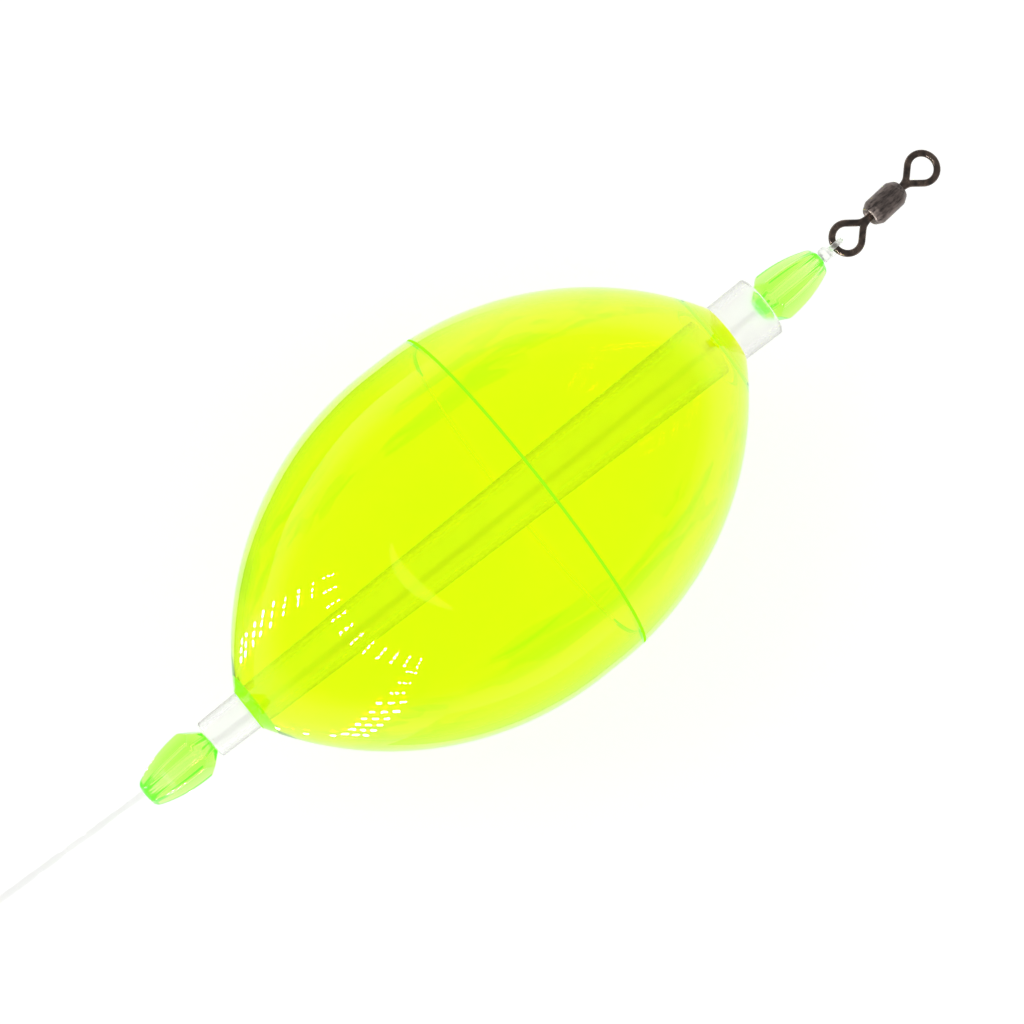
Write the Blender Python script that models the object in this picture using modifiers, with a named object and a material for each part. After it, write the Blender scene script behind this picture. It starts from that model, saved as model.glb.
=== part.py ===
"""Casting-bubble float: a two-part clear shell on a tapered peg tube, threaded on a mono line.

The float lies on its side. +X runs along its axis towards the swivel, +Z is up, and the origin is
on the surface it rests on, under the middle of the shell. Lengths are in metres.
"""

import math

import bmesh
import bpy
from mathutils import Matrix, Vector

MM = 0.001
AXIS_Z = 20.2 * MM  # height of the float's axis, and the distance to the flats of its band

# Shell: lemon-shaped, in two halves whose rims overlap at the seam
BELLY_RADIUS = 20.3 * MM  # top of the arc that the outline follows
BELLY_ARC = 36.0 * MM  # radius of the outline's arc
ARC_START = 1.2 * MM
BAND_START_X = -3.4 * MM
SEAM_X = 4.64 * MM
SEAM_GAP = 0.1 * MM
WALL = 1.3 * MM
SPIGOT_END_X = 0.66 * MM
SPIGOT_ROOT_X = 8.0 * MM
SPIGOT_WALL = 0.9 * MM
SPIGOT_CLEARANCE = 0.1 * MM
TAIL_END_X = -32.3 * MM
TAIL_HOLE_RADIUS = 2.37 * MM
TAIL_COLLAR = (1.6 * MM, 3.3 * MM)  # depth and radius of the collar round the hole
HEAD_END_X = 31.5 * MM
HEAD_HOLE_RADIUS = 3.51 * MM
HEAD_COLLAR = (2.7 * MM, 4.5 * MM)
SHELL_SIDES = 30
OUTLINE_STEPS = 9

# Peg tube: one long taper, pushed in from the swivel end
TUBE_TAIL_X = -37.35 * MM
TUBE_HEAD_X = 36.6 * MM
TUBE_TAIL_RADIUS = 2.185 * MM
TUBE_HEAD_RADIUS = 3.536 * MM
TUBE_WALL = 0.8 * MM
RIM_ROUNDING = 0.2 * MM

# Faceted drop beads
BEAD_LENGTH = 8.6 * MM
BEAD_GIRDLE = (1.8 * MM, 2.9 * MM)  # height over the wide end, and radius to the corners
BEAD_TIP_RADIUS = 1.15 * MM
BEAD_MOUTH_RADIUS = 1.25 * MM
BEAD_HOLE_RADIUS = 0.76 * MM
BEAD_FACETS = 6
BEAD_STEPS = 5
BEAD_CUT_LENGTH = 1.2 * BEAD_LENGTH  # length of the six-sided cone that its wide end is cut by
TAIL_BEAD_MOUTH = Vector((-37.42 * MM, -0.10 * MM, AXIS_Z))
TAIL_BEAD_YAW = math.radians(182.8)
TAIL_BEAD_ROLL = math.radians(24.0)  # about its own axis, from a long edge straight up
HEAD_BEAD_MOUTH = Vector((35.97 * MM, -0.12 * MM, AXIS_Z))
HEAD_BEAD_YAW = math.radians(1.5)
HEAD_BEAD_ROLL = math.radians(25.0)

# Mono line: X, Y and height over the axis of the points its route runs through, in millimetres
LINE_RADIUS = 0.34 * MM
LINE_STEP = 1.7 * MM
MAIN_ROUTE = (
    (-37.25, -0.42, 0.0),
    (-33.00, -0.52, 0.0),
    (-25.00, -0.60, -0.1),
    (-12.00, -0.60, -0.3),
    (4.00, -0.50, -0.4),
    (20.00, -0.36, -0.3),
    (30.00, -0.24, -0.1),
    (36.00, -0.12, 0.0),
    (42.00, -0.02, 0.0),
    (45.40, 0.14, 0.0),
)
TAIL_ROUTE = (
    (-37.40, -0.41, 0.0),
    (-46.00, -0.14, 0.0),
    (-54.00, 0.11, 0.0),
    (-62.00, 0.36, 0.0),
    (-70.00, 0.61, 0.0),
)

# Knot at the swivel: wraps round the line, and one turn through the eye
KNOT_RADIUS = 0.78 * MM
KNOT_LENGTH = 1.15 * MM
KNOT_START_X = 44.75 * MM
TURN_RADIUS = 0.86 * MM  # middle of the turn round the eye's wire
TURN_SIDES = 20
STRAND_SIDES = 8
KNOT_SIDES = 12
KNOT_SHOULDER = 0.3  # of a knot's length
KNOT_END = 0.7  # of a knot's radius, at its two ends

# Loop knot at the far end of the line
END_KNOT_LENGTH = 3.2 * MM
END_KNOT_RADIUS = 0.95 * MM
END_KNOT_GAP = 0.1 * MM
END_LOOP_LENGTH = 13.0 * MM
END_LOOP_WIDTH = 5.6 * MM
END_LOOP_POINTS = 28
END_STRAND_OFFSET = 0.42 * MM  # of each strand from the knot's middle
END_STRAND_START = 2.2 * MM
END_LOOP_FULLNESS = 1.3  # brings the widest place of the loop's outline to its stated width

# Barrel swivel, along its own +X from the line's eye to the free eye
SWIVEL_YAW = math.radians(4.6)
SWIVEL_DROOP = math.radians(8.0)
LINE_EYE_CENTRE = Vector((48.35 * MM, 0.05 * MM, AXIS_Z - 0.25 * MM))
EYE_TO_MIDDLE = 5.85 * MM
RING_RADIUS = 1.65 * MM
WIRE_RADIUS = 0.39 * MM
RING_STEPS = 22
NECK_HALF_ANGLE = math.radians(46.0)  # where the ring leaves its circle for the neck
NECK_DISTANCE = 2.35 * MM  # from the ring's centre to where its two wires meet
HOLD_ANGLE = math.radians(165.0)  # where on the ring the line's turn holds it
SHANK_RADIUS = 0.415 * MM
SHANK_HEAD = (0.88 * MM, 0.65 * MM)  # radius and length
SHANK_HEAD_CHAMFER = 0.2  # of the head's radius and length
SHANK_IN_NECK = 0.3 * MM
HEAD_SEAT_GAP = 0.1 * MM
BARREL_RADIUS = 1.5 * MM
BARREL_HALF_LENGTH = 2.35 * MM
BARREL_SHOULDER = 0.75 * MM
SHOULDER_STEPS = 4
BARREL_WALL = 0.42 * MM
BARREL_END_WALL = 0.6 * MM
BARREL_MOUTH = (0.95 * MM, 0.3 * MM)  # radius and depth of the countersunk mouth
BARREL_LIP = 0.08 * MM  # width of the flat ring round the mouth
BARREL_THROAT_RADIUS = 0.5 * MM
BARREL_SIDES = 24
ROUND_SIDES = 16

# Colour (linear RGB), roughness and metallic value
NEON_SHELL = ((0.72, 1.0, 0.02), 0.06, 0.0)
MILKY_CLEAR = ((0.86, 0.9, 0.84), 0.25, 0.0)
GREEN_BEAD = ((0.42, 1.0, 0.06), 0.08, 0.0)
CLEAR_MONO = ((0.9, 0.9, 0.88), 0.15, 0.0)
BLACK_NICKEL = ((0.075, 0.06, 0.055), 0.32, 1.0)

MERGE_DISTANCE = 1e-6
SHARP_ANGLE = math.radians(35.0)
PIVOT_DISPLAY_SIZE = 2 * MM
Z_TO_X = Matrix.Rotation(math.pi / 2, 4, "Y")


def clear_scene():
    for obj in list(bpy.data.objects):
        bpy.data.objects.remove(obj, do_unlink=True)


def add_collection(name):
    collection = bpy.data.collections.new(name)
    bpy.context.scene.collection.children.link(collection)
    return collection


def add_material(name, finish):
    colour, roughness, metallic = finish
    material = bpy.data.materials.new(name)
    material.use_nodes = True
    shader = material.node_tree.nodes["Principled BSDF"]
    shader.inputs["Base Color"].default_value = (*colour, 1.0)
    shader.inputs["Roughness"].default_value = roughness
    shader.inputs["Metallic"].default_value = metallic
    return material


def add_object(name, data, world=None):
    obj = bpy.data.objects.new(name, data)
    parts.objects.link(obj)
    if world is not None:
        obj.matrix_world = world
    return obj


def add_pivot(name, parent, world):
    """An empty on a joint's axis. pivots keeps its world matrix for what hangs on it."""
    pivot = add_object(name, None)
    pivot.empty_display_size = PIVOT_DISPLAY_SIZE
    pivots[name] = world
    attach(pivot, parent, world)


def attach(obj, parent, world):
    """Puts an object at a world matrix under a pivot."""
    if parent is not None:
        obj.parent = bpy.data.objects[parent]
        world = pivots[parent].inverted() @ world
    obj.matrix_basis = world


def finish_part(obj, parent, world, finish):
    """Gives a sub-part its material, its smooth shading and its place under a pivot."""
    obj.data.materials.append(add_material(obj.name + "_finish", finish))
    obj.data.shade_smooth()
    obj.data.set_sharp_from_angle(angle=SHARP_ANGLE)
    attach(obj, parent, world)


def evaluated_mesh(obj):
    """The mesh that an object's curve or modifiers give, in its own space, with its seams welded."""
    depsgraph = bpy.context.evaluated_depsgraph_get()
    mesh = bpy.data.meshes.new_from_object(obj.evaluated_get(depsgraph))
    cleaner = bmesh.new()
    cleaner.from_mesh(mesh)
    bmesh.ops.remove_doubles(cleaner, verts=cleaner.verts, dist=MERGE_DISTANCE)
    bmesh.ops.recalc_face_normals(cleaner, faces=cleaner.faces)
    cleaner.to_mesh(mesh)
    cleaner.free()
    return mesh


def to_mesh_object(obj):
    """Replaces a curve object by a welded mesh object of the same name and place."""
    name, world, mesh = obj.name, obj.matrix_world.copy(), evaluated_mesh(obj)
    bpy.data.objects.remove(obj, do_unlink=True)
    return add_object(name, mesh, world)


def combine(obj, other, operation):
    """Joins another solid to an object, cuts it away or keeps what they share."""
    cutters.objects.link(other)
    parts.objects.unlink(other)
    other.hide_render = True
    other.display_type = "WIRE"
    modifier = obj.modifiers.new(operation.lower() + "_" + other.name, "BOOLEAN")
    modifier.operation = operation
    modifier.solver = "EXACT"
    modifier.object = other


def turned(name, profile, sides, closed=False):
    """A shape turned about its local Z axis, from (radius, z) points that run down its outer side."""
    mesh = bpy.data.meshes.new(name)
    outline = bmesh.new()
    points = [outline.verts.new((radius, 0.0, z)) for radius, z in profile]
    for start, end in zip(points, points[1:] + points[:1] if closed else points[1:]):
        outline.edges.new((start, end))
    outline.to_mesh(mesh)
    outline.free()
    obj = add_object(name, mesh)
    screw = obj.modifiers.new("turn", "SCREW")
    screw.axis = "Z"
    screw.steps = sides
    screw.render_steps = sides
    screw.use_merge_vertices = True
    screw.merge_threshold = MERGE_DISTANCE
    return obj


def swept(name, points, radius, cyclic=False):
    """A round wire along a list of points."""
    curve = bpy.data.curves.new(name, "CURVE")
    curve.dimensions = "3D"
    curve.bevel_depth = radius
    curve.bevel_resolution = 2
    curve.use_fill_caps = True
    spline = curve.splines.new("POLY")
    spline.points.add(len(points) - 1)
    for point, place in zip(spline.points, points):
        point.co = (*place, 1.0)
    spline.use_cyclic_u = cyclic
    return to_mesh_object(add_object(name, curve))


def smooth_route(route, step):
    """Points about a step apart on a smooth curve through a route's own points."""
    knots = [Vector((x, y, z)) * MM + Vector((0.0, 0.0, AXIS_Z)) for x, y, z in route]
    padded = [2 * knots[0] - knots[1], *knots, 2 * knots[-1] - knots[-2]]
    points = []
    for before, start, end, after in zip(padded, padded[1:], padded[2:], padded[3:]):
        count = max(1, round((end - start).length / step))
        for index in range(count):
            t = index / count
            bend = 2 * before - 5 * start + 4 * end - after
            twist = 3 * start - before - 3 * end + after
            points.append(start + ((end - before) * t + bend * t**2 + twist * t**3) / 2)
    return points + [knots[-1]]


def outline_radius(x, inset=0.0):
    """Radius of the shell's outline at x, or of a surface inset from it by a wall."""
    run = max(0.0, abs(x) - ARC_START)
    arc = BELLY_ARC - inset
    return BELLY_RADIUS - BELLY_ARC + math.sqrt(arc**2 - run**2)


def outline_points(start, end, inset=0.0):
    """(radius, x) points on the outline from one x to another, closer together towards the ends."""
    angles = [math.asin(x / BELLY_ARC) for x in (start, end)]
    steps = [angles[0] + (angles[1] - angles[0]) * n / OUTLINE_STEPS for n in range(OUTLINE_STEPS + 1)]
    return [(outline_radius(x, inset), x) for x in (BELLY_ARC * math.sin(a) for a in steps)]


def wall_meets(radius, inset=0.0):
    """x where the inset outline has come down to a radius."""
    arc = BELLY_ARC - inset
    return ARC_START + math.sqrt(arc**2 - (radius - BELLY_RADIUS + BELLY_ARC) ** 2)


def build_shell_body():
    """The larger half, on the line's side, with the flat band that the float rests on."""
    depth, collar = TAIL_COLLAR
    rim = SEAM_X - SEAM_GAP / 2
    inner_end = -wall_meets(collar, WALL)
    outer = [(AXIS_Z / math.cos(math.pi / SHELL_SIDES), x) for x in (rim, BAND_START_X)]
    outer += outline_points(BAND_START_X, TAIL_END_X)[1:]
    hole = [(TAIL_HOLE_RADIUS, TAIL_END_X), (TAIL_HOLE_RADIUS, TAIL_END_X + depth)]
    inner = [(collar, TAIL_END_X + depth), *outline_points(inner_end, 0.0, WALL)[:-1]]
    inner += [(outline_radius(0.0, WALL), -ARC_START), (outline_radius(0.0, WALL), rim)]
    obj = turned("shell_body", outer + hole + inner, SHELL_SIDES, closed=True)
    finish_part(obj, "float", float_axis(), NEON_SHELL)


def build_shell_cap():
    """The smaller half, on the swivel's side, with the spigot that fits inside the other's rim."""
    depth, collar = HEAD_COLLAR
    rim = SEAM_X + SEAM_GAP / 2
    spigot = outline_radius(0.0, WALL) - SPIGOT_CLEARANCE
    outer = outline_points(HEAD_END_X, rim)
    inner_end = wall_meets(collar, WALL)
    inner = outline_points(SPIGOT_ROOT_X, inner_end, WALL) + [(collar, HEAD_END_X - depth)]
    hole = [(HEAD_HOLE_RADIUS, HEAD_END_X - depth), (HEAD_HOLE_RADIUS, HEAD_END_X)]
    step = [(spigot, rim), (spigot, SPIGOT_END_X)]
    lip = spigot - SPIGOT_WALL
    step += [(lip, SPIGOT_END_X), (lip, SPIGOT_ROOT_X - SPIGOT_WALL)]
    obj = turned("shell_cap", outer + step + inner + hole, SHELL_SIDES, closed=True)
    finish_part(obj, "float", float_axis(), NEON_SHELL)


def build_peg_tube():
    """The tapered tube that plugs both holes of the shell and carries the line."""
    taper = (TUBE_HEAD_RADIUS - TUBE_TAIL_RADIUS) / (TUBE_HEAD_X - TUBE_TAIL_X)

    def corner(end_x, radius, inwards, along):
        inner_x = end_x - math.copysign(along * RIM_ROUNDING, end_x)
        return (radius - inwards * RIM_ROUNDING, inner_x)

    head_bore, tail_bore = TUBE_HEAD_RADIUS - TUBE_WALL, TUBE_TAIL_RADIUS - TUBE_WALL
    profile = [
        corner(TUBE_HEAD_X, TUBE_HEAD_RADIUS, 1, 0),
        corner(TUBE_HEAD_X, TUBE_HEAD_RADIUS - taper * RIM_ROUNDING, 0, 1),
        corner(TUBE_TAIL_X, TUBE_TAIL_RADIUS + taper * RIM_ROUNDING, 0, 1),
        corner(TUBE_TAIL_X, TUBE_TAIL_RADIUS, 1, 0),
        corner(TUBE_TAIL_X, tail_bore, -1, 0),
        corner(TUBE_TAIL_X, tail_bore + taper * RIM_ROUNDING, 0, 1),
        corner(TUBE_HEAD_X, head_bore - taper * RIM_ROUNDING, 0, 1),
        corner(TUBE_HEAD_X, head_bore, -1, 0),
    ]
    obj = turned("peg_tube", profile, SHELL_SIDES, closed=True)
    finish_part(obj, "peg_slide", float_axis(), MILKY_CLEAR)


def build_bead(name, parent, mouth, yaw, roll):
    """A drop bead with six long facets, six short ones at its wide end between them, and a hole."""
    girdle_z, girdle = BEAD_GIRDLE
    profile = [(0.0, BEAD_LENGTH)]
    for index in range(BEAD_STEPS, -1, -1):
        share = index / BEAD_STEPS
        radius = girdle - (girdle - BEAD_TIP_RADIUS) * share**2
        profile.append((radius, girdle_z + (BEAD_LENGTH - girdle_z) * share))
    profile += [(girdle, 0.0), (0.0, 0.0)]
    obj = turned(name, profile, BEAD_FACETS)
    cone_top = BEAD_MOUTH_RADIUS + (girdle - BEAD_MOUTH_RADIUS) * BEAD_CUT_LENGTH / girdle_z
    bpy.ops.mesh.primitive_cone_add(
        vertices=BEAD_FACETS,
        radius1=BEAD_MOUTH_RADIUS,
        radius2=cone_top,
        depth=BEAD_CUT_LENGTH,
    )
    cone = take_primitive(name + "_mouth_facets")
    turn = Matrix.Rotation(math.pi / BEAD_FACETS, 4, "Z")
    cone.data.transform(Matrix.Translation((0.0, 0.0, BEAD_CUT_LENGTH / 2)) @ turn)
    bpy.ops.mesh.primitive_cylinder_add(
        vertices=ROUND_SIDES,
        radius=BEAD_HOLE_RADIUS,
        depth=2 * BEAD_CUT_LENGTH,
    )
    hole = take_primitive(name + "_hole")
    combine(obj, cone, "INTERSECT")
    combine(obj, hole, "DIFFERENCE")
    turned_to = Matrix.Rotation(yaw, 4, "Z") @ Matrix.Rotation(roll, 4, "X")
    world = Matrix.Translation(mouth) @ turned_to @ Z_TO_X
    for solid in (cone, hole):
        solid.matrix_world = world
    finish_part(obj, parent, world, GREEN_BEAD)


def take_primitive(name):
    """Names the primitive just added and moves it to the object's collection."""
    obj = bpy.context.active_object
    obj.name = name
    for collection in obj.users_collection:
        collection.objects.unlink(obj)
    parts.objects.link(obj)
    return obj


def build_main_line():
    """The line through the float, its knot and the turn that holds the swivel's eye, in one piece."""
    route = smooth_route(MAIN_ROUTE, LINE_STEP)
    obj = swept("main_line", route, LINE_RADIUS)
    bpy.ops.mesh.primitive_torus_add(
        major_segments=TURN_SIDES,
        minor_segments=STRAND_SIDES,
        major_radius=TURN_RADIUS,
        minor_radius=LINE_RADIUS,
    )
    turn = take_primitive("eye_turn")
    turn.matrix_world = hold_frame()
    start = Vector((KNOT_START_X, route[-1].y, AXIS_Z))
    towards = hold_frame().translation - start
    knot = turned("clinch_wraps", knot_profile(KNOT_LENGTH, KNOT_RADIUS), KNOT_SIDES)
    knot.matrix_world = Matrix.Translation(start) @ towards.to_track_quat("Z", "Y").to_matrix().to_4x4()
    combine(obj, knot, "UNION")
    combine(obj, turn, "UNION")
    finish_part(obj, "line_slide", Matrix(), CLEAR_MONO)


def knot_profile(length, radius):
    """(radius, z) points of a small round-shouldered knot, from z = length down to 0."""
    shoulder = KNOT_SHOULDER * length
    return [
        (0.0, length),
        (KNOT_END * radius, length),
        (radius, length - shoulder),
        (radius, shoulder),
        (KNOT_END * radius, 0.0),
        (0.0, 0.0),
    ]


def build_line_tail():
    """The free stretch of line, from the tube's thin end to the loop knot."""
    obj = swept("line_tail", smooth_route(TAIL_ROUTE, LINE_STEP), LINE_RADIUS)
    finish_part(obj, "line_slide", Matrix(), CLEAR_MONO)


def build_end_loop():
    """The knot and loop at the line's far end, along the tail's own direction."""
    tail = smooth_route(TAIL_ROUTE, LINE_STEP)
    away = (tail[-1] - tail[-2]).normalized()
    start = tail[-1] + away * END_KNOT_GAP
    frame = Matrix.Translation(start) @ away.to_track_quat("Z", "X").to_matrix().to_4x4()
    points = []
    for index in range(END_LOOP_POINTS + 1):
        turn = 2 * math.pi * index / END_LOOP_POINTS
        reach = END_LOOP_LENGTH * (1 - math.cos(turn)) / 2
        bulge = END_LOOP_WIDTH / 2 * END_LOOP_FULLNESS * math.sin(turn) * math.sin(turn / 2)
        side = END_STRAND_OFFSET * math.cos(turn / 2) + bulge
        points.append(Vector((0.0, side, END_STRAND_START + reach)))
    obj = turned("end_loop", knot_profile(END_KNOT_LENGTH, END_KNOT_RADIUS), KNOT_SIDES)
    loop = swept("end_loop_bight", points, LINE_RADIUS)
    loop.matrix_world = frame
    combine(obj, loop, "UNION")
    finish_part(obj, "line_slide", frame, CLEAR_MONO)


def build_eye(name, parent, towards_free_end):
    """A swivel eye: a teardrop ring on a shank whose head turns inside the barrel."""
    ring = []
    for index in range(RING_STEPS + 1):
        span = 2 * (math.pi - NECK_HALF_ANGLE)
        angle = NECK_HALF_ANGLE + span * index / RING_STEPS
        ring.append(Vector((math.cos(angle), math.sin(angle), 0.0)) * RING_RADIUS)
    ring.append(Vector((NECK_DISTANCE, 0.0, 0.0)))
    obj = swept(name, ring, WIRE_RADIUS, cyclic=True)
    head_radius, head_length = SHANK_HEAD
    seat = EYE_TO_MIDDLE - (BARREL_HALF_LENGTH - BARREL_END_WALL - HEAD_SEAT_GAP)
    top = seat + head_length
    root = NECK_DISTANCE - SHANK_IN_NECK
    profile = [
        (0.0, top),
        (head_radius * (1 - SHANK_HEAD_CHAMFER), top),
        (head_radius, top - SHANK_HEAD_CHAMFER * head_length),
        (head_radius, seat),
        (SHANK_RADIUS, seat),
        (SHANK_RADIUS, root),
        (0.0, root),
    ]
    shank = turned(name + "_shank", profile, ROUND_SIDES)
    shank.data.transform(Z_TO_X)
    shank.modifiers["turn"].axis = "X"
    combine(obj, shank, "UNION")
    side = Matrix.Rotation(math.pi, 4, "Z") if towards_free_end else Matrix()
    world = swivel_frame() @ side @ Matrix.Translation((-EYE_TO_MIDDLE, 0.0, 0.0))
    shank.matrix_world = world
    finish_part(obj, parent, world, BLACK_NICKEL)


def build_barrel():
    """The swivel's barrel, open at both ends, crimped over the two heads."""
    mouth, mouth_depth = BARREL_MOUTH
    outer = []
    for index in range(SHOULDER_STEPS + 1):
        angle = math.pi / 2 * index / SHOULDER_STEPS
        radius = BARREL_RADIUS - (BARREL_RADIUS - mouth - BARREL_LIP) * (1 - math.sin(angle))
        outer.append((radius, BARREL_HALF_LENGTH - BARREL_SHOULDER * (1 - math.cos(angle))))
    inner_end = BARREL_HALF_LENGTH - BARREL_END_WALL
    top = [
        (BARREL_RADIUS - BARREL_WALL, inner_end),
        (BARREL_THROAT_RADIUS, inner_end),
        (BARREL_THROAT_RADIUS, BARREL_HALF_LENGTH - mouth_depth),
        (mouth, BARREL_HALF_LENGTH),
    ]
    upper = top + outer
    lower = [(radius, -z) for radius, z in reversed(upper)]
    obj = turned("swivel_barrel", upper + lower, BARREL_SIDES, closed=True)
    finish_part(obj, "barrel_spin", swivel_frame() @ Z_TO_X, BLACK_NICKEL)


def float_axis():
    """Local Z along the float's axis, with a flat of each many-sided piece straight down."""
    half_side = Matrix.Rotation(math.pi / SHELL_SIDES, 4, "Z")
    return Matrix.Translation((0.0, 0.0, AXIS_Z)) @ Z_TO_X @ half_side


def swivel_frame():
    """The swivel's own frame: its middle, with +X towards the free eye and Z across its rings."""
    turn = Matrix.Rotation(SWIVEL_YAW, 4, "Z") @ Matrix.Rotation(SWIVEL_DROOP, 4, "Y")
    return Matrix.Translation(LINE_EYE_CENTRE) @ turn @ Matrix.Translation((EYE_TO_MIDDLE, 0.0, 0.0))


def hold_frame():
    """Centre of the eye's wire where the line holds it, with local Z along the wire."""
    place = Vector((math.cos(HOLD_ANGLE), math.sin(HOLD_ANGLE), 0.0)) * RING_RADIUS
    along = Vector((-math.sin(HOLD_ANGLE), math.cos(HOLD_ANGLE), 0.0))
    local = Matrix.Translation(place) @ along.to_track_quat("Z", "Y").to_matrix().to_4x4()
    return swivel_frame() @ Matrix.Translation((-EYE_TO_MIDDLE, 0.0, 0.0)) @ local


pivots = {}

clear_scene()
parts = add_collection("bobber_float")
cutters = add_collection("cutters")

add_pivot("float", None, Matrix.Translation((0.0, 0.0, AXIS_Z)))
add_pivot("peg_slide", "float", Matrix.Translation((TUBE_HEAD_X, 0.0, AXIS_Z)))
add_pivot("line_slide", "peg_slide", Matrix.Translation((KNOT_START_X, 0.0, AXIS_Z)))
add_pivot("tail_bead_slide", "line_slide", Matrix.Translation(TAIL_BEAD_MOUTH))
add_pivot("head_bead_slide", "peg_slide", Matrix.Translation(HEAD_BEAD_MOUTH))
add_pivot("eye_pivot", "line_slide", hold_frame())
add_pivot("barrel_spin", "eye_pivot", swivel_frame())
add_pivot("free_eye_spin", "barrel_spin", swivel_frame())

build_shell_body()
build_shell_cap()
build_peg_tube()
build_bead("tail_bead", "tail_bead_slide", TAIL_BEAD_MOUTH, TAIL_BEAD_YAW, TAIL_BEAD_ROLL)
build_bead("head_bead", "head_bead_slide", HEAD_BEAD_MOUTH, HEAD_BEAD_YAW, HEAD_BEAD_ROLL)
build_main_line()
build_line_tail()
build_end_loop()
build_eye("swivel_line_eye", "eye_pivot", towards_free_end=False)
build_barrel()
build_eye("swivel_free_eye", "free_eye_spin", towards_free_end=True)
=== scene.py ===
import math

import bmesh
import bpy
from mathutils import Matrix, Vector


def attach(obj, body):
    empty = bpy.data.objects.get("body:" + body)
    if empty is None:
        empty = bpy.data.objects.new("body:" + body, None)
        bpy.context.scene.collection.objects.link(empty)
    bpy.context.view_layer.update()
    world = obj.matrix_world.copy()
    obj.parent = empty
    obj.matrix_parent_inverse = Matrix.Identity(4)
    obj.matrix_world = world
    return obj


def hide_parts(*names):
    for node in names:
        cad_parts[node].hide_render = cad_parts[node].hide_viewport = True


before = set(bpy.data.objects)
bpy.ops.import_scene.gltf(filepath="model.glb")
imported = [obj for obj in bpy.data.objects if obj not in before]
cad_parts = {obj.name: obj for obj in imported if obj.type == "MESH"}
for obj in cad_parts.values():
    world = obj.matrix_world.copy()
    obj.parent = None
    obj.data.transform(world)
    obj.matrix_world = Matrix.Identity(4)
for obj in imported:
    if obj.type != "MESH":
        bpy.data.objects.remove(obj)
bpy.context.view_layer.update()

MM = 0.001
AXIS_Z = 20.2 * MM  # height of the float's axis

# ---------------------------------------------------------------- camera
CAMERA_DISTANCE = 0.35
CAMERA_LEAN = math.radians(5.5)  # from straight above, towards the free line's end
CAMERA_ROLL = math.radians(38.2)  # of the float's axis in the picture
FRAME_WIDTH = 0.1074  # width of the view at the float's axis
SENSOR = 36.0
CLIP_START = 0.01
AIM_OFFSET = (2.15 * MM, 0.68 * MM)  # of the picture's middle from the shell's middle


def make_camera():
    away = Vector((-math.sin(CAMERA_LEAN), 0.0, math.cos(CAMERA_LEAN)))
    along = Vector((1.0, 0.0, 0.0))
    along = (along - away * along.dot(away)).normalized()
    across = away.cross(along)
    right = math.cos(CAMERA_ROLL) * along - math.sin(CAMERA_ROLL) * across
    up = math.sin(CAMERA_ROLL) * along + math.cos(CAMERA_ROLL) * across
    data = bpy.data.cameras.new("camera")
    data.sensor_width = SENSOR
    data.lens = SENSOR * CAMERA_DISTANCE / FRAME_WIDTH
    data.clip_start = CLIP_START
    camera = bpy.data.objects.new("camera", data)
    bpy.context.scene.collection.objects.link(camera)
    place = Vector((0.0, 0.0, AXIS_Z)) + right * AIM_OFFSET[0] + up * AIM_OFFSET[1]
    place += away * CAMERA_DISTANCE
    matrix = Matrix((right, up, away)).transposed().to_4x4()
    matrix.translation = place
    camera.matrix_world = matrix
    bpy.context.scene.camera = camera


make_camera()


# ---------------------------------------------------------------- mesh helpers
FILLET_STEPS = 5
MELT_SOFTENING = 0.5


def new_object(name, mesh):
    obj = bpy.data.objects.new(name, mesh)
    bpy.context.scene.collection.objects.link(obj)
    return obj


def mesh_object(name, vertices, faces):
    """A closed mesh object whose normals point outwards, shaded smooth."""
    mesh = bpy.data.meshes.new(name)
    mesh.from_pydata([tuple(v) for v in vertices], [], faces)
    cleaner = bmesh.new()
    cleaner.from_mesh(mesh)
    bmesh.ops.recalc_face_normals(cleaner, faces=cleaner.faces)
    cleaner.to_mesh(mesh)
    cleaner.free()
    mesh.shade_smooth()
    return new_object(name, mesh)


def ring_faces(count, sides, closed):
    """Quads between rings of vertices, ring after ring."""
    faces = []
    for ring in range(count if closed else count - 1):
        following = (ring + 1) % count
        for side in range(sides):
            beside = (side + 1) % sides
            faces.append((
                ring * sides + side,
                ring * sides + beside,
                following * sides + beside,
                following * sides + side,
            ))
    return faces


def angles(sides):
    """Evenly spaced angles, once round."""
    return [2 * math.pi * side / sides for side in range(sides)]


def polar(x, radius, angle):
    """The point at x along local X, a radius away from it, at an angle round it."""
    return Vector((x, radius * math.cos(angle), radius * math.sin(angle)))


def in_mm(x, y=0.0, z=0.0):
    return Vector((x * MM, y * MM, z * MM))


def revolve(name, outline, sides, frame_matrix):
    """A ring-shaped solid turned about local X from a closed outline of (x, radius) points."""
    vertices = [
        frame_matrix @ polar(x, radius, angle) for x, radius in outline for angle in angles(sides)
    ]
    return mesh_object(name, vertices, ring_faces(len(outline), sides, True))


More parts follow.
